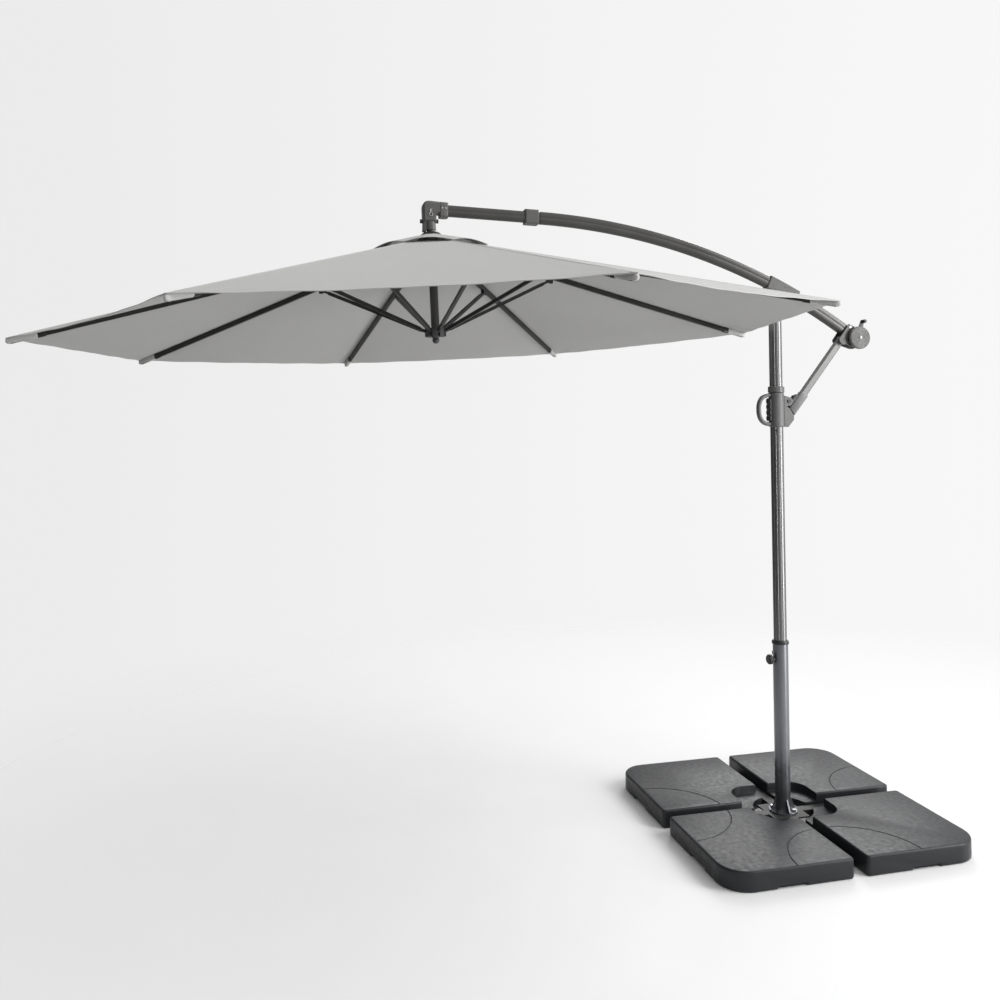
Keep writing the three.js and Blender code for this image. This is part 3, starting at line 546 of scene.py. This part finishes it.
def cloth_shell(cloth, columns, rows, puckered, hem, hem_drop):
    """A closed thin shell, with UVs in metres: cloth along and across the rib, hem from the rim."""
    length = cloth["outer"] - cloth["inner"]
    shares = [k / rows for k in range(rows + 1) if (1 - k / rows) * length > hem * 1.5]
    shares += [1 - d / length for d in (hem * 1.1, hem, hem * 0.5, 0.0015, 0.0)]
    turns = [0.5 * math.copysign(abs(t) ** 1.5, t) for t in np.linspace(-1, 1, columns)]
    points, cloth_uv, hem_uv = [], [], []
    for top in (True, False):
        for share in shares:
            inset = (1 - share) * length
            for u in turns:
                lift = cloth["thickness"] if top else 0.0
                if not top and inset <= hem:
                    lift -= hem_drop
                lift += pucker(cloth, u, share) if puckered else 0.0
                point, r = cloth_point(cloth, u, share, lift)
                points.append(point)
                cloth_uv.append((point.y, r / math.cos(RIB_SLOPE)))
                hem_uv.append((inset, point.y))
    wide, deep = len(turns), len(shares)
    second = wide * deep
    faces = grid_faces(deep, wide) + grid_faces(deep, wide, start=second)
    border = list(range(wide))
    border += [r * wide + wide - 1 for r in range(1, deep)]
    border += [(deep - 1) * wide + c for c in range(wide - 2, -1, -1)]
    border += [r * wide for r in range(deep - 2, 0, -1)]
    for k, a in enumerate(border):
        b = border[(k + 1) % len(border)]
        faces.append((a, b, b + second, a + second))
    return points, faces, cloth_uv, hem_uv


def paint_uvs(mesh, layers):
    for name, values in layers.items():
        layer = mesh.uv_layers.new(name=name)
        for loop in mesh.loops:
            layer.data[loop.index].uv = values[loop.vertex_index]


def add_on_rib(name, points, faces, i, place, slot_name, material=None):
    """A piece that rides with rib i, from points in the frame that place sets."""
    return add_mesh(f"{name}_{i + 1}", [place @ p for p in points], faces, f"rib_{i + 1}", slot_name,
                    material=material)


def fold_with_rib(piece):
    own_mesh(piece)


def add_cloth(name, cloth, i, replaced, keep, **shape):
    points, faces, cloth_uv, hem_uv = cloth_shell(cloth, **shape)
    made = add_on_rib(name, points, faces, i, spoke(i), "canopy_cloth")
    paint_uvs(made.data, {"cloth": cloth_uv, "hem": hem_uv})
    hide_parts(replaced)
    fold_with_rib(made)
    return made


def seam_strip(cloth, width, thickness, rows=30):
    """A folded seam that lies on the cloth along its rib."""
    profile = [(-width / 2, 0.0), (-width / 2 + 0.001, thickness * 0.8), (-width / 4, thickness),
               (0.0, thickness * 1.15), (width / 4, thickness), (width / 2 - 0.001, thickness * 0.8),
               (width / 2, 0.0), (0.0, -thickness * 0.4)]
    rings, cloth_uv, hem_uv = [], [], []
    for k in range(rows + 1):
        share = k / rows
        ring = []
        for offset, lift in profile:
            r = cloth["inner"] + (cloth["outer"] - cloth["inner"]) * share
            u = offset / (2 * HALF_SPAN * r)
            point, _ = cloth_point(cloth, u, share, cloth["thickness"] + lift)
            ring.append(point)
            cloth_uv.append((offset, r))
            hem_uv.append((abs(offset) - width / 4 + 0.005, r))
        rings.append(ring)
    points, faces = loft(rings)
    return points, faces, cloth_uv, hem_uv


def add_seam(name, cloth, i, width, thickness):
    points, faces, cloth_uv, hem_uv = seam_strip(cloth, width, thickness)
    made = add_on_rib(name, points, faces, i, spoke(i), "canopy_cloth")
    paint_uvs(made.data, {"cloth": cloth_uv, "hem": hem_uv})
    return made


def along_rib(i):
    """A frame on rib i: X along the rib from its hinge, Y across it, Z square to its top."""
    hinge = Matrix.Translation((HINGE_RADIUS, 0, 0)) @ Matrix.Rotation(RIB_SLOPE, 4, "Y")
    return spoke(i) @ hinge


def add_pocket(i):
    """The cloth pocket that holds the rib's end, drawn tight at its mouth and rounded at the corner."""
    length, lift, sides = 0.094, 0.0015, 36
    start = RIB_END - length + RIB_INSET
    stations = [(0.0, 0.0195, 0.0225), (0.004, 0.0215, 0.0245), (0.012, 0.0205, 0.0235),
                (0.03, 0.0198, 0.0226), (0.055, 0.0196, 0.0222), (0.075, 0.0188, 0.0214),
                (0.086, 0.0160, 0.0190), (0.0915, 0.011, 0.014), (length, 0.005, 0.006)]
    rings, uvs = [], []
    for along, wide, tall in stations:
        outline = oval(wide, tall, 3.2, sides)
        rings.append([Vector((start + along, u, v + lift)) for u, v in outline])
        uvs += [(wide * k / (sides / 3), along) for k in range(sides)]
    points, faces = loft(rings)
    made = add_on_rib("rib_pocket", points, faces, i, along_rib(i), "canopy_cloth", POCKET_CLOTH)
    paint_uvs(made.data, {"cloth": uvs, "hem": [(v, u) for u, v in uvs]})
    return made


def add_rib_plug(i):
    """The black end plug that shows between the rib and its pocket."""
    start = RIB_END - 0.104
    stations = [(0.0, 0.0150, 0.0190), (0.002, 0.0180, 0.0220), (0.020, 0.0180, 0.0220),
                (0.0255, 0.0172, 0.0212)]
    rings = []
    for along, wide, tall in stations:
        rings.append([Vector((start + along, u, v)) for u, v in oval(wide, tall, 5.0, 32)])
    points, faces = loft(rings)
    return add_on_rib("rib_plug", points, faces, i, along_rib(i), "black_plastic")


def add_canopy():
    for i in range(RIBS):
        main = add_cloth("canopy_gore", MAIN, i, "canopy_fabric", 0.22, columns=33, rows=34, puckered=True,
                         hem=0.024, hem_drop=0.0007)
        seam = add_seam("canopy_seam", MAIN, i, 0.016, 0.0010)
        pocket = add_pocket(i)
        add_rib_plug(i)
        vent = add_cloth("vent_gore", VENT, i, "vent_fabric", 0.30, columns=25, rows=16, puckered=False,
                         hem=0.014, hem_drop=0.0005)
        vent_seam = add_seam("vent_seam", VENT, i, 0.012, 0.0008)


# ---- Base plates ----------------------------------------------------------------------------------
def arc(cx, cy, radius, start, end, steps):
    return [(cx + radius * math.cos(start + (end - start) * k / steps),
             cy + radius * math.sin(start + (end - start) * k / steps)) for k in range(steps + 1)]


def prism(name, outline, z0, z1):
    rings = [[Vector((x, y, z)) for x, y in outline] for z in (z0, z1)]
    points, faces = loft(rings)
    return loose_object(name, points, faces)


def bevelled(obj, width, segments, angle=40.0):
    bevel = obj.modifiers.new("bevel", "BEVEL")
    bevel.width = width
    bevel.segments = segments
    bevel.limit_method = "ANGLE"
    bevel.angle_limit = math.radians(angle)
    bevel.use_clamp_overlap = True
    apply_modifiers(obj)


def plate_outline():
    near, far, right = PLATE_GAP / 2, BASE_HALF, math.pi / 2
    start = math.asin(near / FOOT_CLEARANCE)
    outline = arc(0, 0, FOOT_CLEARANCE, right - start, start, 10)
    outline += arc(far - PLATE_HEEL, near + PLATE_HEEL, PLATE_HEEL, -right, 0, 6)
    outline += arc(far - PLATE_CORNER, far - PLATE_CORNER, PLATE_CORNER, 0, right, 20)
    outline += arc(near + PLATE_HEEL, far - PLATE_HEEL, PLATE_HEEL, right, 2 * right, 6)
    return outline


def groove(centre, start, end):
    """A round rod bent to a quarter circle, which cuts a half-round groove in a plate's top."""
    path = [Vector((x, y, PLATE_HEIGHT + 0.0006)) for x, y in arc(*centre, GROOVE_RADIUS, start, end, 40)]
    rod = round_outline(GROOVE_ROD, 10)
    return loose_object("groove", *swept([rod] * len(path), path, Vector((0, 0, 1))))


def add_base_plates():
    plate = prism("plate", plate_outline(), 0.0, PLATE_HEIGHT)
    bevelled(plate, 0.008, 4, 60.0)
    h, c = RECESS_HALF, RECESS_CORNER
    recess = arc(h - c, h - c, c, 0, math.pi / 2, 16) + [(-0.02, h), (-0.02, -0.02), (h, -0.02)]
    middle = (BASE_HALF + PLATE_GAP / 2) / 2
    reliefs = []
    for turn in (0, 1):
        notch = [(-0.07, -0.014), (-0.052, RELIEF_DEPTH), (0.052, RELIEF_DEPTH), (0.07, -0.014)]
        outline = [(BASE_HALF - e, middle + a) if turn else (middle + a, BASE_HALF - e) for a, e in notch]
        reliefs.append(prism("relief", outline, -0.01, RELIEF_HEIGHT))
    cut_out(plate, [prism("recess", recess, RECESS_FLOOR, PLATE_HEIGHT + 0.02), *reliefs])
    bevelled(plate, 0.0022, 2, 50.0)
    quarter = math.pi / 2
    grooves = {"x": ((BASE_HALF, 0.0), quarter * 0.9, 2 * quarter), "y": ((0.0, BASE_HALF), -quarter, 0.1)}
    plates = (("back", "x"), ("left", "y"), ("front", "xy"), ("right", "x"))
    for i, (name, sides) in enumerate(plates):
        grooved = bpy.data.objects.new("grooved", plate.data.copy())
        bpy.context.scene.collection.objects.link(grooved)
        cut_out(grooved, [groove(*grooves[side]) for side in sides])
        mesh = grooved.data.copy()
        bpy.data.objects.remove(grooved)
        mesh.transform(Matrix.Rotation(i * quarter, 4, "Z"))
        replaced = [f"base_plate_{name}"]
        add_object(f"moulded_plate_{name}", mesh, "base", "base_plastic", replaced, sharp=32.0)
    bpy.data.objects.remove(plate)


# ---- Mast, boom and handle ------------------------------------------------------------------------
def add_mast():
    """The mast tube with twelve narrow flutes, and the lock hole that shows under the handle."""
    flutes, depth, half_width, steps = 12, 0.0015, 0.0019, 240
    spacing = 2 * math.pi / flutes
    offset = LOCK_HOLE_TURN % spacing

    def radius(a):
        away = abs((a - offset + spacing / 2) % spacing - spacing / 2) * MAST_RADIUS
        return MAST_RADIUS - depth * math.exp(-((away / half_width) ** 4))

    outer = [(radius(a) * math.cos(a), radius(a) * math.sin(a)) for a in full_turn(steps)]
    inner = round_outline(MAST_RADIUS - MAST_WALL, steps)
    loops = ((outer, MAST_BOTTOM), (outer, MAST_TOP), (inner, MAST_TOP), (inner, MAST_BOTTOM))
    points = [Vector((x, y, z)) for outline, z in loops for x, y in outline]
    faces = grid_faces(4, steps, wrap=True)
    faces += [(3 * steps + k, 3 * steps + (k + 1) % steps, (k + 1) % steps, k) for k in range(steps)]
    tube = loose_object("tube", points, faces)
    out = Matrix.Translation((0, 0, LOCK_HOLE_Z)) @ Matrix.Rotation(LOCK_HOLE_TURN, 4, "Z")
    inside, drill = 0.018, [(LOCK_HOLE_RADIUS, 0.0), (LOCK_HOLE_RADIUS, 0.02)]
    lying = out @ Matrix.Rotation(math.pi / 2, 4, "Y") @ Matrix.Translation((0, 0, inside))
    hole = loose_object("hole", *turned(drill, lying, 24))
    cut_out(tube, [hole])
    add_object("mast_fluted_tube", tube.data.copy(), "mast", "graphite_metal", ["mast_tube"],
               material=MAST_PAINT, sharp=30.0)
    bpy.data.objects.remove(tube)


def boom_outline(width, height, groove_z, depth):
    """A rounded box section with one V groove along each side."""
    outline = []
    for u, v in oval(width, height, 3.4, 96):
        pinch = depth * math.exp(-(((v - groove_z) / 0.0022) ** 2)) if abs(u) > width * 0.3 else 0.0
        outline.append((u - math.copysign(pinch, u), v))
    return outline


def boom_point(x):
    centre_x = BOOM_BEND.x - BOOM_RADIUS * math.sin(BOOM_SLOPE)
    centre_z = BOOM_BEND.z - BOOM_RADIUS * math.cos(BOOM_SLOPE)
    return Vector((x, 0, centre_z + math.sqrt(BOOM_RADIUS ** 2 - (x - centre_x) ** 2)))


def add_boom():
    steps, groove_z, span = 60, -0.0015, BOOM_REAR_X - BOOM_BEND.x
    rear_path = [boom_point(BOOM_BEND.x + span * k / steps) for k in range(steps + 1)]
    rear = boom_outline(*REAR_SECTION, groove_z, 0.0022)
    points, faces = swept([rear] * len(rear_path), rear_path)
    add_mesh("boom_rear", points, faces, "boom", "graphite_metal", ["boom_tube_rear"], sharp=28.0)
    front = boom_outline(*FRONT_SECTION, groove_z, 0.0020)
    front_path = [front_line(x) for x in np.linspace(FRONT_END_X, BOOM_BEND.x, 5)]
    points, faces = swept([front] * len(front_path), front_path)
    add_mesh("boom_front", points, faces, "boom", "graphite_metal", ["boom_tube_front"], sharp=28.0)


def bezier(a, b, c, d, steps):
    out = []
    for k in range(steps + 1):
        t = k / steps
        out.append(a * (1 - t) ** 3 + b * 3 * t * (1 - t) ** 2 + c * 3 * t * t * (1 - t) + d * t ** 3)
    return out


def add_grip():
    """The D-shaped loop: an oval bar, deepest at its middle, that runs into the sleeve at both ends."""
    def at(x, z):
        return Vector((x, 0, z))

    top, bottom, start = SLEEVE_TOP - 0.011, SLEEVE_BOTTOM + 0.012, -SLEEVE_HALF - 0.0005
    reach, belly, pull = -0.0815, SLEEVE_BOTTOM + 0.073, 0.024
    upper = bezier(at(start, top), at(-0.067, top), at(reach, top - pull), at(reach, belly), 22)
    lower = bezier(at(reach, belly), at(reach, bottom + pull), at(-0.068, bottom), at(start, bottom), 22)
    path = upper + lower[1:]
    outlines = []
    for k in range(len(path)):
        t = abs(k / (len(path) - 1) - 0.5) * 2
        outlines.append(oval(GRIP_WIDTH, GRIP_THICK + GRIP_SWELL * t ** 2, 2.8, 36))
    points, faces = swept(outlines, path)
    add_mesh("grip_bar", points, faces, "slider", "grey_plastic", ["grip_loop"], material=HANDLE_PLASTIC,
             sharp=50.0)


def side_prism(outline, y0, y1):
    """An outline of (x, z) run across Y."""
    return loft([[Vector((x, y, z)) for x, z in outline] for y in (y0, y1)])


def towards_front(point):
    """A frame at point whose Z axis points at -Y."""
    return Matrix.Translation(point) @ Matrix.Rotation(math.pi / 2, 4, "X")


def front_line(x):
    return Vector((x, 0, BOOM_BEND.z - math.tan(BOOM_SLOPE) * (x - BOOM_BEND.x)))


def add_elbow_details():
    """The moulded collar and two rivets at the elbow's mouth, its wire clip, and the lip at its foot."""
    stations = ((-1.4120, 0.0460, 0.0545), (-1.4100, 0.0495, 0.0585), (-1.3860, 0.0495, 0.0585),
                (-1.3835, 0.0470, 0.0560))
    outlines = [oval(wide, tall, 7.0, 56) for _, wide, tall in stations]
    points, faces = swept(outlines, [front_line(x) for x, _, _ in stations])
    add_mesh("elbow_collar", points, faces, "boom", "grey_plastic", sharp=40.0)
    rivet = [(0.0042, -0.003), (0.0042, 0.0006), (0.0032, 0.0017), (0.0, 0.0022)]
    for k, x in enumerate((-1.4045, -1.3915)):
        points, faces = turned(rivet, towards_front(front_line(x) + Vector((0, -0.0247, 0.005))), 20)
        add_mesh(f"elbow_rivet_{k + 1}", points, faces, "boom", "steel")
    eye, tail, parting, wire = Vector((-1.448, -0.0246, 2.404)), 0.020, 0.0022, 0.0013
    bend, reach = 0.0062, 0.86 * math.pi
    turns = np.linspace(-reach, reach, 25)
    path = [eye + Vector((bend * math.sin(a), 0, -bend * math.cos(a))) for a in turns]
    path = [eye + Vector((-parting, 0, tail))] + path + [eye + Vector((parting, 0, tail))]
    points, faces = swept([round_outline(wire, 10)] * len(path), path)
    add_mesh("elbow_clip", points, faces, "boom", "steel", sharp=60.0)
    lip = [(-1.4760, 2.342), (-1.4630, 2.342), (-1.4615, 2.385), (-1.4745, 2.385)]
    points, faces = side_prism(lip, -0.015, 0.015)
    add_mesh("elbow_lip", points, faces, "boom", "dark_plastic")


def add_crank_cover():
    """The round cover with fine concentric ridges, and the bright cap on its axle."""
    axle, thick = 0.0055, 0.0139
    profile = [(axle, 0.0), (CRANK_DISC, 0.0), (CRANK_DISC, 0.0085), (0.0466, 0.0112), (0.0440, 0.0126)]
    for ridge in range(6):
        r = 0.0415 - 0.0055 * ridge
        profile += [(r + 0.0016, 0.0127), (r + 0.0006, 0.0118), (r - 0.0006, 0.0118), (r - 0.0016, 0.0127)]
    profile += [(0.0105, 0.0127), (0.0095, thick), (axle, thick)]
    face = Vector((CRANK.x, COVER_BACK_Y, CRANK.z))
    points, faces = turned(profile, towards_front(face), 72)
    add_mesh("crank_cover", points, faces, "crank", "dark_plastic", ["crank_disc"], material=COVER_PLASTIC,
             sharp=40.0)
    cap = [(0.0062, 0.0), (0.0062, 0.0016), (0.0045, 0.0028), (0.0, 0.0034)]
    points, faces = turned(cap, towards_front(face + Vector((0, -thick, 0))), 24)
    add_mesh("crank_axle_cap", points, faces, "crank", "steel")


def add_bracket_screws():
    """Flat screw heads, flush enough for the crank's arm to pass over them."""
    head = [(0.0052, -0.002), (0.0052, 0.0001), (0.0044, 0.00025), (0.0, 0.0003)]
    for k, (x, z) in enumerate(((0.338, 2.012), (0.330, 1.959), (0.356, 2.002))):
        points, faces = turned(head, towards_front(Vector((x, CHEEK_FACE_Y, z))), 24)
        add_mesh(f"bracket_screw_{k + 1}", points, faces, "boom", "steel")


def add_strut_socket():
    """The socket: a sleeve in line with the strut, on a casting that carries the pivot's eye. The sleeve
    takes the lighter handle plastic as painted light on its lit face, and the casting takes black plastic
    as painted shade on its shaded upper-left side.
    """
    run = STRUT_TOP - STRUT_HEEL
    frame_of_strut = Matrix.Translation(STRUT_HEEL) @ Matrix.Rotation(-math.atan2(run.z, run.x), 4, "Y")
    eye = frame_of_strut.inverted() @ STRUT_FOOT
    round_eye = arc(eye.x, eye.z, SOCKET_EYE, math.radians(45), math.radians(215), 16)
    casting_half, shoe_half, room_half, room_rise, mouth = 0.0095, 0.0125, 0.0113, 0.0163, 0.0777
    casting = [(0.010, 0.012), (0.078, 0.012)]
    casting += arc(0.0600, 0.0160, 0.0180, 0.0, math.radians(125), 14) + round_eye
    hump = loose_object("hump", *side_prism(casting, -casting_half, casting_half))
    bevelled(hump, 0.0030, 3, 50.0)
    hole = [(eye.x + u, eye.z + v) for u, v in round_outline(0.0082, 32)]
    cut_out(hump, [loose_object("hole", *side_prism(hole, -0.02, 0.02))])
    sleeve = [(-0.003, -0.019), (0.103, -0.0195), (0.099, 0.0165), (0.007, 0.0185)]
    shoe = loose_object("shoe", *side_prism(sleeve, -shoe_half, shoe_half))
    bevelled(shoe, 0.0040, 4, 50.0)
    room = [(mouth, -room_rise), (0.12, -room_rise), (0.12, room_rise), (mouth, room_rise)]
    cut_out(shoe, [loose_object("room", *side_prism(room, -room_half, room_half))])
    # The shoe is painted lighter as painted light, and the hump black as painted shade.
    pieces = (("strut_hump_painted_shade", hump, LOOKS["black_plastic"]), ("strut_shoe_painted_light", shoe, HANDLE_PLASTIC))
    for name, made, look in pieces:
        mesh = made.data.copy()
        mesh.transform(frame_of_strut)
        add_object(name, mesh, "strut", "dark_plastic", ["strut_socket"], material=look)
        bpy.data.objects.remove(made)


def add_hoist_cord():
    """The cord inside the canopy's pole, between the boom and the lower hub."""
    radius, aside, top, bottom = 0.0025, 0.009, 0.105, -LOWER_HUB_DROP - 0.015
    rings = []
    for k in range(41):
        z = top + (bottom - top) * k / 40
        rings.append([CANOPY @ Vector((x, aside + y, z)) for x, y in round_outline(radius, 14)])
    points, faces = loft(rings)
    made = add_mesh("hoist_line", points, faces, "boom", "cord", ["hoist_cord"])
    made.parent = None
    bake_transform(made)


# ---- CAD nodes that stay: bevels, smooth shading and materials --------------------------------------
BEVELS = {
    "boom_coupling": 0.0015, "boom_saddle": 0.0015, "mast_top_bracket": 0.0012, "crank_bracket": 0.0012,
    "crank_arm": 0.0008, "cross_frame": 0.0012,
}


def dress_cad_nodes():
    for name, node in NODES.items():
        mesh = node.data
        mesh.materials.clear()
        mesh.materials.append(OWN_LOOKS.get(name, LOOKS[SLOT_OF[name]]))
        mesh.shade_smooth()
        mesh.set_sharp_from_angle(angle=math.radians(38))
        width = BEVELS.get(name, 0.0006 if name.startswith("rib") else 0.0)
        if width:
            bevel = node.modifiers.new("softened edges", "BEVEL")
            bevel.width = width
            bevel.segments = 2
            bevel.limit_method = "ANGLE"
            bevel.angle_limit = math.radians(40)
            bevel.harden_normals = True


# ---- Everything -----------------------------------------------------------------------------------
add_camera()
add_world()
add_floor()
add_lamp("key", (4.6, -2.4, 5.0), (-0.6, 0, 1.4), (3.2, 3.2), 190)
add_lamp("rim", (2.5, 4.0, 3.6), (-0.4, 0, 1.6), (2.4, 2.4), 90)
add_lamp("strip", (2.9, -2.7, 1.5), (0.0, 0, 1.4), (1.3, 3.4), 120)
dress_cad_nodes()
add_canopy()
add_base_plates()
add_mast()
add_boom()
add_grip()
add_elbow_details()
add_crank_cover()
add_bracket_screws()
add_strut_socket()
add_hoist_cord()
bpy.context.scene.view_settings.view_transform = "Standard"
